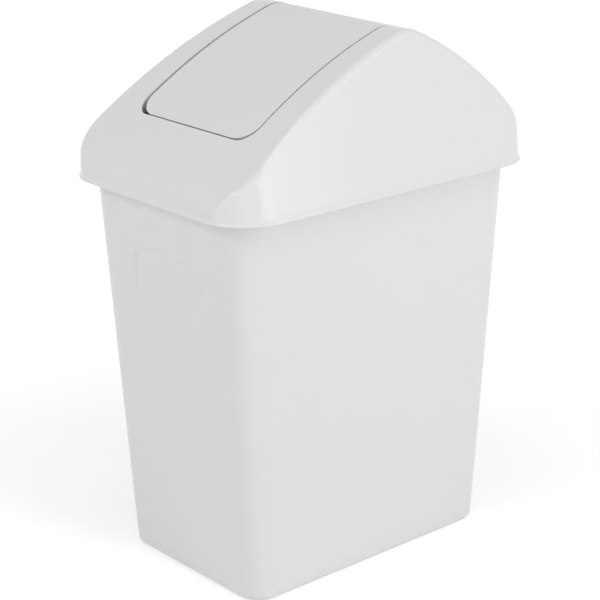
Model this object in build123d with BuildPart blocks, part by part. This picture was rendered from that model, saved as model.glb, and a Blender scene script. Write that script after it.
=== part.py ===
from build123d import *
from math import asin, cos, degrees, hypot, radians, sin, tan
import os

# A swing-top bin: a tapered bucket, an arched hood that drops over its rim, and a flap that fills the
# hood's opening and swings on two short pins. Millimetres, +Z up. The origin is the centre of the base,
# X runs across the narrow side and -Y is the front.

wall = 2.2                      # every moulded wall
running = 0.08                  # radial play of the flap on its pins
soft_edge = 0.6                 # rounding along the seam between flap and hood

# Bucket: half sizes at the floor and at the rim
base_x, base_y, base_r = 98.5, 147.0, 24.0
mouth_x, mouth_y, mouth_r = 114.3, 167.0, 26.5
body_height = 382.0
base_edge_r = 6.5
foot_height = 2.5               # the middle of the base stands this far off the floor
foot_inset = 16.0
foot_r = 12.0
floor_top = foot_height + wall
floor_edge_r = 5.0
rim_x, rim_y, rim_r = 126.6, 180.4, 44.0
rim_turn = 6.5                  # height of the rim's down-turned edge
rim_edge_r = 0.9

# Arch-shaped recess on each narrow wall, cut by an upright plane
recess_half = 46.7
recess_top = 318.7
recess_crown = 6.7              # rise of its top edge from the corners to the middle
recess_corner_r = 12.7
recess_foot = 190.0             # below the height where the upright plane leaves the sloping wall
recess_plane = 160.6
recess_slope = 60.0             # its sides lean this far out from square to the plane

# Hood: a side-on arch of tangent arcs, cut to a plan with rounded corners
lip_z = 374.0
apex_y, apex_z = 33.5, 514.0
ridge_r, bend_r = 38.0, 38.0
slopes = {-1: (17.5, 40.5), 1: (25.5, 56.0)}    # slope angles where the front and rear arcs start and end
end_draft, side_draft = 5.7, 10.5
skirt_x, skirt_y, skirt_r = 131.0, 184.0, 48.0
corner_overhang = 1.0           # the plan stands this far outside the arch's foot
shoulder_z, shoulder_r = 430.0, 40.0      # the plan's corners tighten from the lip up to here
edge_r = 6.0
lip_flare, lip_height, lip_r = 2.0, 7.0, 49.0
lip_taper = 26.0                # the lip flares out of the skirt at this angle from upright
lip_edge_r = 0.7
rib_long, rib_high, rib_thick = 15.0, 16.0, 2.0
rib_ys = (-105.0, -35.0, 35.0, 105.0)
rib_xs = (-48.0, 48.0)

# Opening and flap. Their sides lean in towards the ridge, and the half widths are at the pivot's height.
opening_x, opening_y, opening_r = 79.1, 133.1, 18.0
flap_x, flap_y, flap_r = 76.1, 131.6, 21.0
seam_draft = 2.8
flap_sink = 0.4
flap_tuck = 0.98                # the flap's slopes bend tighter, so its ends sit below the hood
turn_depth, turn_thick = 7.0, 2.0         # the flap's turned-down edge, below its wall
flange_depth, flange_thick = 9.0, 2.0     # the opening's turned-down edge, below the hood's wall
hood_boss_r, hood_boss_long = 9.0, 5.0
flap_boss_r, flap_boss_long = 9.0, 3.6

# Pins
pivot_z = 494.0
pin_r, pin_head_r, pin_head_long = 3.0, 5.5, 2.0
pin_reach = 1.6                 # how far the pin stands through the flap's boss
pin_edge = 0.6

above = apex_z + ridge_r        # clear above the ridge
SIDES = (-1, 1)
FAR = 400.0                     # larger than the whole bin
os.makedirs("parts", exist_ok=True)


# The arch. A point is named by its side, front (-1) or rear (1), and by the slope angle there.

def normal(side, angle):
    return side * sin(radians(angle)), cos(radians(angle))


def slope_radius(side):
    """Radius of the long arc that joins the ridge to the bend and brings the foot to skirt_y."""
    start, end = slopes[side]
    upright = 90 - end_draft
    lean = tan(radians(end_draft))
    run = ridge_r * sin(radians(start)) + bend_r * (sin(radians(upright)) - sin(radians(end)))
    drop = ridge_r * (1 - cos(radians(start))) + bend_r * (cos(radians(end)) - cos(radians(upright)))
    across = sin(radians(end)) - sin(radians(start))
    down = cos(radians(start)) - cos(radians(end))
    reach = skirt_y - side * apex_y
    return (reach - run - (apex_z - drop - lip_z) * lean) / (across - down * lean)


def arc_at(side, angle, tuck):
    """Centre and radius of the arc that holds this slope angle."""
    start, end = slopes[side]
    radius = ridge_r
    centre = [apex_y, apex_z - ridge_r]
    for joint, following in ((start, slope_radius(side) * tuck), (end, bend_r)):
        if angle > joint:
            ny, nz = normal(side, joint)
            centre[0] += ny * (radius - following)
            centre[1] += nz * (radius - following)
            radius = following
    return centre, radius


def arch_point(side, angle, inset=0.0, tuck=1.0):
    (cy, cz), radius = arc_at(side, angle, tuck)
    ny, nz = normal(side, angle)
    return cy + ny * (radius - inset), cz + nz * (radius - inset)


def arch_angle(side, y, inset, tuck):
    """Slope angle of the long arc at a given y."""
    (cy, _), radius = arc_at(side, slopes[side][1], tuck)
    return degrees(asin(side * (y - cy) / (radius - inset)))


def arch_run(side, angles, inset, tuck=1.0):
    """Draw the arcs between successive slope angles, in the BuildLine that is open."""
    for first, last in zip(angles, angles[1:]):
        middle = (first + last) / 2
        ThreePointArc(*[arch_point(side, angle, inset, tuck) for angle in (first, middle, last)])


def arch_face(inset):
    """The hood seen from the side, down to the lip."""
    upright = 90 - end_draft
    with BuildSketch(Plane.YZ) as sketch:
        with BuildLine():
            feet = []
            for side in SIDES:
                arch_run(side, (0, *slopes[side], upright), inset)
                end_y, end_z = arch_point(side, upright, inset)
                foot = (end_y + side * (end_z - lip_z) * tan(radians(end_draft)), lip_z)
                Line((end_y, end_z), foot)
                feet.append(foot)
            Line(*feet)
        make_face()
    return sketch.sketch


def flap_strip(reach, top, bottom):
    """The flap seen from the side, between two insets of its own arch, its ends square to the slope."""
    stops = {side: arch_angle(side, side * reach, top, flap_tuck) for side in SIDES}
    with BuildSketch(Plane.YZ) as sketch:
        with BuildLine():
            for side in SIDES:
                for inset in (top, bottom):
                    arch_run(side, (0, slopes[side][0], stops[side]), inset, flap_tuck)
                Line(*[arch_point(side, stops[side], inset, flap_tuck) for inset in (top, bottom)])
        make_face()
    return sketch.sketch


def on_arch(edge, inset=0.0, tuck=1.0):
    """Whether the middle of an edge lies on the arch."""
    middle = edge @ 0.5
    arcs = [arc_at(side, angle, tuck) for side in SIDES for angle in (0, slopes[side][1])]
    return any(abs(hypot(middle.Y - y, middle.Z - z) - radius + inset) < 0.01 for (y, z), radius in arcs)


def disc_face(x, radius):
    """A disc on the pivot line."""
    with BuildSketch(Plane.YZ.offset(x)) as sketch:
        with Locations((0, pivot_z)):
            Circle(radius)
    return sketch.sketch


def leaning_block(half_x, at_z, draft, half_y, corners):
    """A block whose sides lean in. It measures half_x at at_z; corners holds its corner radius by height."""
    with BuildPart() as block:
        for z, corner in corners:
            with BuildSketch(Plane.XY.offset(z)):
                RectangleRounded(2 * (half_x - (z - at_z) * tan(radians(draft))), 2 * half_y, corner)
        loft(ruled=True)
    return block.part


def opening_form(outset):
    """The hood's opening as a solid block, grown by outset."""
    corners = [(z, opening_r + outset) for z in (lip_z, above)]
    return leaning_block(opening_x + outset, pivot_z, seam_draft, opening_y + outset, corners)


def flap_form(inset, top, bottom):
    """The flap's outline drawn in by inset, as a solid between two insets of its own arch."""
    depth = bottom - top
    with BuildPart() as form:
        extrude(flap_strip(flap_y - inset, top, bottom), amount=FAR, both=True)
        heights = [(z, flap_r) for z in (lip_z, above)]
        add(leaning_block(flap_x - inset, pivot_z, seam_draft, FAR, heights), mode=Mode.INTERSECT)
        corners = form.edges().filter_by(lambda edge: depth - 0.01 < edge.length < depth * 1.02)
        fillet(corners, radius=flap_r - inset)
    return form.part


def hood_form(inset):
    """The hood as a solid block, drawn in by inset on every side but its open foot."""
    corners = [(lip_z, skirt_r - inset), (shoulder_z, shoulder_r - inset), (above, shoulder_r - inset)]
    with BuildPart() as form:
        add(leaning_block(skirt_x - inset, lip_z, side_draft, skirt_y + corner_overhang - inset, corners))
        extrude(arch_face(inset), amount=FAR, both=True, mode=Mode.INTERSECT)
        curved = form.edges().filter_by(GeomType.LINE, reverse=True)
        fillet(curved.filter_by(lambda edge: edge.bounding_box().size.Z > 0.1), radius=edge_r - inset)
    return form.part


def bucket_form(bottom, inset):
    """The tapered bucket as a solid block from a height upward, drawn in by inset."""
    with BuildPart() as form:
        for z in (bottom, body_height):
            share = z / body_height
            half_x = base_x + (mouth_x - base_x) * share - inset
            half_y = base_y + (mouth_y - base_y) * share - inset
            corner = base_r + (mouth_r - base_r) * share - inset
            with BuildSketch(Plane.XY.offset(z)):
                RectangleRounded(2 * half_x, 2 * half_y, corner)
        loft()
        fillet(form.faces().sort_by(Axis.Z)[0].edges(), radius=floor_edge_r if inset else base_edge_r)
    return form.part


def recess_form(side, inset):
    """The block that cuts the recess from one narrow wall, or, inset, backs it inside."""
    half = recess_half + inset
    top = recess_top + inset
    shoulder = top - recess_crown
    depth = mouth_y - recess_plane + 2 * wall
    with BuildPart() as form:
        with BuildSketch(Plane.XZ.offset(-side * (recess_plane - inset))) as outline:
            with BuildLine():
                ThreePointArc((-half, shoulder), (0, top), (half, shoulder))
                Polyline((half, shoulder), (half, recess_foot), (-half, recess_foot), (-half, shoulder))
            make_face()
            fillet(outline.vertices().group_by(Axis.Y)[-1], radius=recess_corner_r + inset)
        extrude(amount=-side * depth, taper=-recess_slope)
    return form.part


# Bucket

cavity = bucket_form(floor_top, wall)
for side in SIDES:
    cavity -= recess_form(side, wall)

with BuildPart() as bin_body:
    add(bucket_form(0.0, 0.0))
    for side in SIDES:
        add(recess_form(side, 0.0), mode=Mode.SUBTRACT)
    with BuildSketch(Plane.XY.offset(body_height)):
        RectangleRounded(2 * rim_x, 2 * rim_y, rim_r)
    extrude(amount=-wall)
    with BuildSketch(Plane.XY.offset(body_height)):
        RectangleRounded(2 * rim_x, 2 * rim_y, rim_r)
        RectangleRounded(2 * (rim_x - wall), 2 * (rim_y - wall), rim_r - wall, mode=Mode.SUBTRACT)
    extrude(amount=-rim_turn)
    fillet(bin_body.faces().sort_by(Axis.Z)[-1].edges(), radius=rim_edge_r)
    add(cavity, mode=Mode.SUBTRACT)
    with BuildSketch(Plane.XY):
        RectangleRounded(2 * (base_x - foot_inset), 2 * (base_y - foot_inset), foot_r)
    extrude(amount=foot_height, mode=Mode.SUBTRACT)
bin_body.part.label = "bin_body"
export_step(bin_body.part, "parts/bin_body.step")


# Hood

rib_inner = wall + rib_long
rib_upper = wall + rib_thick

with BuildPart() as lip:
    with BuildSketch(Plane.XY.offset(lip_z)):
        RectangleRounded(2 * (skirt_x + lip_flare), 2 * (skirt_y + lip_flare), lip_r)
    extrude(amount=lip_height, taper=lip_taper)
    fillet(lip.faces().sort_by(Axis.Z)[0].edges(), radius=lip_edge_r)

with BuildPart() as rest_ribs:
    for y in rib_ys:
        with BuildSketch(Plane.XZ.offset(-y)):
            with BuildLine():
                Polyline((skirt_x, body_height), (skirt_x - rib_inner, body_height),
                         (skirt_x - rib_upper, body_height + rib_high), (skirt_x, body_height + rib_high),
                         close=True)
            make_face()
            mirror(about=Plane.YZ)
        extrude(amount=rib_thick / 2, both=True)
    for x in rib_xs:
        with BuildSketch(Plane.YZ.offset(x)):
            with BuildLine():
                Polyline((skirt_y, body_height), (skirt_y - rib_inner, body_height),
                         (skirt_y - rib_inner, body_height + rib_thick),
                         (skirt_y - rib_upper - bend_r / 4, body_height + rib_high),
                         (skirt_y, body_height + rib_high), close=True)
            make_face()
            mirror(about=Plane.YZ)
        extrude(amount=rib_thick / 2, both=True)
    add(hood_form(wall / 2), mode=Mode.INTERSECT)

with BuildPart() as opening_flange:
    extrude(arch_face(wall / 2), amount=FAR, both=True)
    extrude(arch_face(wall + flange_depth), amount=FAR, both=True, mode=Mode.SUBTRACT)
    add(opening_form(flange_thick) - opening_form(0.0), mode=Mode.INTERSECT)

with BuildPart() as lid_hood:
    add(hood_form(0.0))
    add(lip.part)
    add(hood_form(wall), mode=Mode.SUBTRACT)
    add(rest_ribs.part)
    add(opening_form(0.0), mode=Mode.SUBTRACT)
    fillet(lid_hood.edges(Select.LAST).filter_by(on_arch), radius=soft_edge)
    add(opening_flange.part)
    for side in SIDES:
        extrude(disc_face(side * opening_x, hood_boss_r), amount=side * hood_boss_long)
        bore = opening_x + hood_boss_long - flap_x
        extrude(disc_face(side * flap_x, pin_r), amount=side * bore, mode=Mode.SUBTRACT)
lid_hood.part.label = "lid_hood"
export_step(lid_hood.part, "parts/lid_hood.step")


# Flap

flap_under = flap_sink + wall

with BuildPart() as swing_flap:
    add(flap_form(0.0, flap_sink, flap_under + turn_depth))
    outline = swing_flap.edges().filter_by(lambda edge: on_arch(edge, flap_sink, flap_tuck))
    fillet(outline.filter_by(lambda edge: edge.length > wall), radius=soft_edge)
    add(flap_form(turn_thick, flap_under, flap_under + turn_depth + wall), mode=Mode.SUBTRACT)
    for side in SIDES:
        boss_inner = flap_x - flap_boss_long
        extrude(disc_face(side * boss_inner, flap_boss_r), amount=side * flap_boss_long)
        bore = opening_x - boss_inner
        extrude(disc_face(side * boss_inner, pin_r + running), amount=side * bore, mode=Mode.SUBTRACT)
swing_flap.part.label = "swing_flap"
export_step(swing_flap.part, "parts/swing_flap.step")


# Pins

pin_tip = flap_x - flap_boss_long - pin_reach
pin_head = opening_x + hood_boss_long

for name, side in (("pivot_pin_left", -1), ("pivot_pin_right", 1)):
    with BuildPart() as pivot_pin:
        extrude(disc_face(side * pin_tip, pin_r), amount=side * (pin_head - pin_tip))
        extrude(disc_face(side * pin_head, pin_head_r), amount=side * pin_head_long)
        ends = pivot_pin.faces().filter_by(Axis.X).sort_by(Axis.X)
        chamfer(ends[0].edges() + ends[-1].edges(), length=pin_edge)
    pivot_pin.part.label = name
    export_step(pivot_pin.part, f"parts/{name}.step")
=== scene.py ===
from math import cos, radians, sin

import bpy
from mathutils import Matrix, Vector

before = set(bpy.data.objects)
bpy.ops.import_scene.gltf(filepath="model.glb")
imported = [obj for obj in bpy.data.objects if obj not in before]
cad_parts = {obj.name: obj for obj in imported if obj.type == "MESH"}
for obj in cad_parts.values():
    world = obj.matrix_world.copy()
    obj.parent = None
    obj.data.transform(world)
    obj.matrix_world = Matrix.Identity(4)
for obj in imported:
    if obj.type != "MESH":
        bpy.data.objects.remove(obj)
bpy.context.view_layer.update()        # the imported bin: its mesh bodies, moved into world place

scene = bpy.context.scene
white = (1, 1, 1, 1)
print("frame loaded:", ", ".join(sorted(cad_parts)))


# Small helpers

def awayFrom(azimuth, elevation):
    # azimuth 0 stands in front of the bin, at -Y, and grows towards +X
    a, e = radians(azimuth), radians(elevation)
    return Vector((sin(a) * cos(e), -cos(a) * cos(e), sin(e)))


gridStep = (220, 160)        # one column and one row of the node editor


def addNode(tree, kind, place, **values):
    node = tree.nodes.new(kind)
    node.location = [along * step for along, step in zip(place, gridStep)]
    for name, value in values.items():
        setattr(node, name, value)
    return node


def setInputs(node, **values):
    for name, value in values.items():
        node.inputs[name.replace("_", " ")].default_value = value


def addMath(tree, operation, place, *terms):
    # each term is a number or another node's output; gives the result's output
    node = addNode(tree, "ShaderNodeMath", place, operation=operation)
    for socket, term in zip(node.inputs, terms):
        if isinstance(term, float):
            socket.default_value = term
        else:
            tree.links.new(term, socket)
    return node.outputs[0]


# Camera, where the photographer stood

camera = {
    "azimuth": 47.72, "elevation": 19.16,    # degrees
    "distance": 1.8585,                      # from the aim point, metres
    "aimHeight": 0.2618,
    "slideRight": 0.0539, "slideUp": -0.0211,
    "lens": 116.1, "shiftX": -0.1008, "shiftY": 0.0008,
    "clipStart": 0.05, "clipEnd": 50.0,
}


def makeCamera(c):
    back = awayFrom(c["azimuth"], c["elevation"])
    right = Vector((cos(radians(c["azimuth"])), sin(radians(c["azimuth"])), 0))
    up = back.cross(right)
    place = Vector((0, 0, c["aimHeight"])) + back * c["distance"]
    place += right * c["slideRight"] + up * c["slideUp"]
    data = bpy.data.cameras.new("photoCamera")
    data.lens, data.shift_x, data.shift_y = c["lens"], c["shiftX"], c["shiftY"]
    data.clip_start, data.clip_end = c["clipStart"], c["clipEnd"]
    cam = bpy.data.objects.new("photoCamera", data)
    scene.collection.objects.link(cam)
    cam.matrix_world = Matrix.Translation(place) @ Matrix((right, up, back)).transposed().to_4x4()
    scene.camera = cam


makeCamera(camera)
scene.view_settings.view_transform = "Standard"
print("camera set")


# Studio: soft boxes round the bin, an even dim room, a white background

studio = {
    "room": 0.454,           # strength of the room's even light
    "background": 1.0,       # white, where the camera looks past the bin
    "floorColour": 0.9,
    # brings the lit floor up to white for the camera alone: distances from the bin's middle in metres,
    # and the lift there, lower near the bin so that its soft shadow stays
    "liftFrom": 0.3, "liftTo": 1.3, "liftNear": 0.38, "liftFar": 0.6,
    "floorSize": 12.0,
    "aim": (0, 0, 0.25),
    # azimuth, elevation, distance, width, height, power in watts
    "boxes": {
        "boxFrontHigh": (-2, 36, 2.2, 0.4, 0.4, 5.0),
        "boxFront": (-6, 12, 2.2, 0.9, 0.9, 6.2),
        "boxNear": (50, 10, 2.2, 0.8, 0.8, 2.2),
        "boxStrip": (86, 53, 2.2, 0.2, 1.0, 4.6),
        "boxRight": (107, 12, 2.2, 1.5, 1.4, 15.0),
        "boxAbove": (45, 78, 2.2, 0.8, 0.8, 3.6),
    },
}


def pathMask(tree, place):
    # 1 for what the camera, a mirror or a glass sees directly
    column, row = place
    rays = addNode(tree, "ShaderNodeLightPath", place).outputs
    direct = addMath(tree, "MAXIMUM", (column + 1, row), rays["Is Camera Ray"], rays["Is Glossy Ray"])
    return addMath(tree, "MAXIMUM", (column + 2, row), direct, rays["Is Transmission Ray"])


def makeRoom(s):
    world = bpy.data.worlds.new("room")
    scene.world = world
    world.use_nodes = True
    tree = world.node_tree
    tree.nodes.clear()
    even = addNode(tree, "ShaderNodeBackground", (1, -1))
    setInputs(even, Color=white, Strength=s["room"])
    backdrop = addNode(tree, "ShaderNodeBackground", (1, -2))
    setInputs(backdrop, Color=white, Strength=s["background"])
    mix = addNode(tree, "ShaderNodeMixShader", (2, -1))
    out = addNode(tree, "ShaderNodeOutputWorld", (3, -1))
    tree.links.new(pathMask(tree, (-1, 1)), mix.inputs["Fac"])
    tree.links.new(even.outputs[0], mix.inputs[1])
    tree.links.new(backdrop.outputs[0], mix.inputs[2])
    tree.links.new(mix.outputs[0], out.inputs["Surface"])


def makeFloor(s):
    bpy.ops.object.select_all(action="DESELECT")
    bpy.ops.mesh.primitive_plane_add(size=s["floorSize"])
    floor = bpy.context.object
    floor.name = "studioFloor"
    material = bpy.data.materials.new("paleFloor")
    material.use_nodes = True
    tree = material.node_tree
    tree.nodes.clear()
    shade = addNode(tree, "ShaderNodeBsdfDiffuse", (1, 0))
    setInputs(shade, Color=(s["floorColour"],) * 3 + (1,))
    lift = addNode(tree, "ShaderNodeEmission", (3, -2))
    where = addNode(tree, "ShaderNodeTexCoord", (-2, -4))
    away = addNode(tree, "ShaderNodeVectorMath", (-1, -4), operation="LENGTH")
    ramp = addNode(tree, "ShaderNodeMapRange", (0, -4))
    setInputs(ramp, From_Min=s["liftFrom"], From_Max=s["liftTo"], To_Min=s["liftNear"], To_Max=s["liftFar"])
    both = addNode(tree, "ShaderNodeAddShader", (4, 0))
    out = addNode(tree, "ShaderNodeOutputMaterial", (5, 0))
    tree.links.new(where.outputs["Object"], away.inputs[0])
    tree.links.new(away.outputs["Value"], ramp.inputs["Value"])
    strength = addMath(tree, "MULTIPLY", (2, -2), pathMask(tree, (-1, -2)), ramp.outputs["Result"])
    tree.links.new(strength, lift.inputs["Strength"])
    tree.links.new(shade.outputs[0], both.inputs[0])
    tree.links.new(lift.outputs[0], both.inputs[1])
    tree.links.new(both.outputs[0], out.inputs["Surface"])
    floor.data.materials.append(material)


def makeBoxes(s):
    for name, (azimuth, elevation, distance, width, height, power) in s["boxes"].items():
        data = bpy.data.lights.new(name, "AREA")
        data.shape = "RECTANGLE"
        data.size, data.size_y, data.energy = width, height, power
        lamp = bpy.data.objects.new(name, data)
        scene.collection.objects.link(lamp)
        back = awayFrom(azimuth, elevation)
        lamp.location = Vector(s["aim"]) + back * distance
        lamp.rotation_euler = back.to_track_quat("Z", "Y").to_euler()


makeRoom(studio)
makeFloor(studio)
makeBoxes(studio)
print("studio lit")


# Moulded plastic: an even pale grey with a fine satin grain from the mould, faint flow clouds in tone
# and gloss, and a skin that is never quite flat. Scales are per metre, depths in bump distances.

mould = {
    "Tone Drift": 0.015, "Satin Drift": 0.06,
    "Cloud Scale": 12.0, "Wave Scale": 26.0, "Grain Scale": 1800.0,
    "bumpDistance": 0.0001,      # metres
    "index": 1.49,
}

plastics = {
    "bin_plastic": {"Tone": 0.76, "Satin": 0.24, "Grain Depth": 0.05, "Wave Depth": 1.0},
    "lid_plastic": {"Tone": 0.76, "Satin": 0.19, "Grain Depth": 0.05, "Wave Depth": 0.8},
    "flap_plastic": {"Tone": 0.76, "Satin": 0.34, "Grain Depth": 0.05, "Wave Depth": 0.8},
    "pin_plastic": {"Tone": 0.70, "Satin": 0.34, "Grain Depth": 0.03, "Wave Depth": 0.3},
}


def makeMouldSkin(m):
    group = bpy.data.node_groups.new("mouldSkin", "ShaderNodeTree")
    sockets = {
        "INPUT": ("Tone", "Tone Drift", "Satin", "Satin Drift", "Cloud Scale",
                  "Wave Scale", "Wave Depth", "Grain Scale", "Grain Depth"),
        "OUTPUT": ("Color", "Roughness", "Height"),
    }
    for way, names in sockets.items():
        for name in names:
            kind = "NodeSocketColor" if name in ("Tone", "Color") else "NodeSocketFloat"
            socket = group.interface.new_socket(name, in_out=way, socket_type=kind)
            if name in m:
                socket.default_value = m[name]
    link = group.links.new
    given = addNode(group, "NodeGroupInput", (-4, 0)).outputs
    made = addNode(group, "NodeGroupOutput", (4, 0)).inputs
    where = addNode(group, "ShaderNodeTexCoord", (-4, 3)).outputs["Object"]

    def addNoise(place, scale, detail, roughness):
        noise = addNode(group, "ShaderNodeTexNoise", place)
        setInputs(noise, Detail=detail, Roughness=roughness)
        link(where, noise.inputs["Vector"])
        link(given[scale], noise.inputs["Scale"])
        return noise.outputs["Fac"]

    clouds = addNoise((-2, 3), "Cloud Scale", detail=3.0, roughness=0.55)
    grain = addNoise((-2, 0), "Grain Scale", detail=2.0, roughness=0.6)
    waves = addNoise((-2, -2), "Wave Scale", detail=1.0, roughness=0.4)

    # the clouds run both ways from their middle value, so that the average tone and gloss stay
    centred = addMath(group, "SUBTRACT", (-1, 3), clouds, 0.5)
    drift = addMath(group, "MULTIPLY", (0, 3), centred, given["Tone Drift"])
    level = addMath(group, "ADD", (1, 3), drift, 1.0)
    tint = addNode(group, "ShaderNodeVectorMath", (2, 3), operation="SCALE")
    link(given["Tone"], tint.inputs[0])
    link(level, tint.inputs["Scale"])
    link(tint.outputs[0], made["Color"])

    satin = addMath(group, "MULTIPLY_ADD", (0, 2), centred, given["Satin Drift"], given["Satin"])
    link(satin, made["Roughness"])

    grainHeight = addMath(group, "MULTIPLY", (0, 0), grain, given["Grain Depth"])
    waveHeight = addMath(group, "MULTIPLY", (0, -2), waves, given["Wave Depth"])
    link(addMath(group, "ADD", (1, -1), grainHeight, waveHeight), made["Height"])
    return group


mouldSkin = makeMouldSkin(mould)


def makePlastic(name, look):
    material = bpy.data.materials.new(name + "_moulded")
    material.use_nodes = True
    tree = material.node_tree
    tree.nodes.clear()
    skin = addNode(tree, "ShaderNodeGroup", (-2, 0), node_tree=mouldSkin)
    for key, value in look.items():
        skin.inputs[key].default_value = (value, value, value, 1) if key == "Tone" else value
    bump = addNode(tree, "ShaderNodeBump", (-1, -1))
    setInputs(bump, Strength=1.0, Distance=mould["bumpDistance"])
    surface = addNode(tree, "ShaderNodeBsdfPrincipled", (0, 0))
    setInputs(surface, IOR=mould["index"], Specular_IOR_Level=0.5)
    out = addNode(tree, "ShaderNodeOutputMaterial", (2, 0))
    tree.links.new(skin.outputs["Color"], surface.inputs["Base Color"])
    tree.links.new(skin.outputs["Roughness"], surface.inputs["Roughness"])
    tree.links.new(skin.outputs["Height"], bump.inputs["Height"])
    tree.links.new(bump.outputs["Normal"], surface.inputs["Normal"])
    tree.links.new(surface.outputs[0], out.inputs["Surface"])
    return material


finishes = {name: makePlastic(name, look) for name, look in plastics.items()}
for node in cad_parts.values():
    for part in node.material_slots:
        part.material = finishes[part.material.name]
print("plastics made")
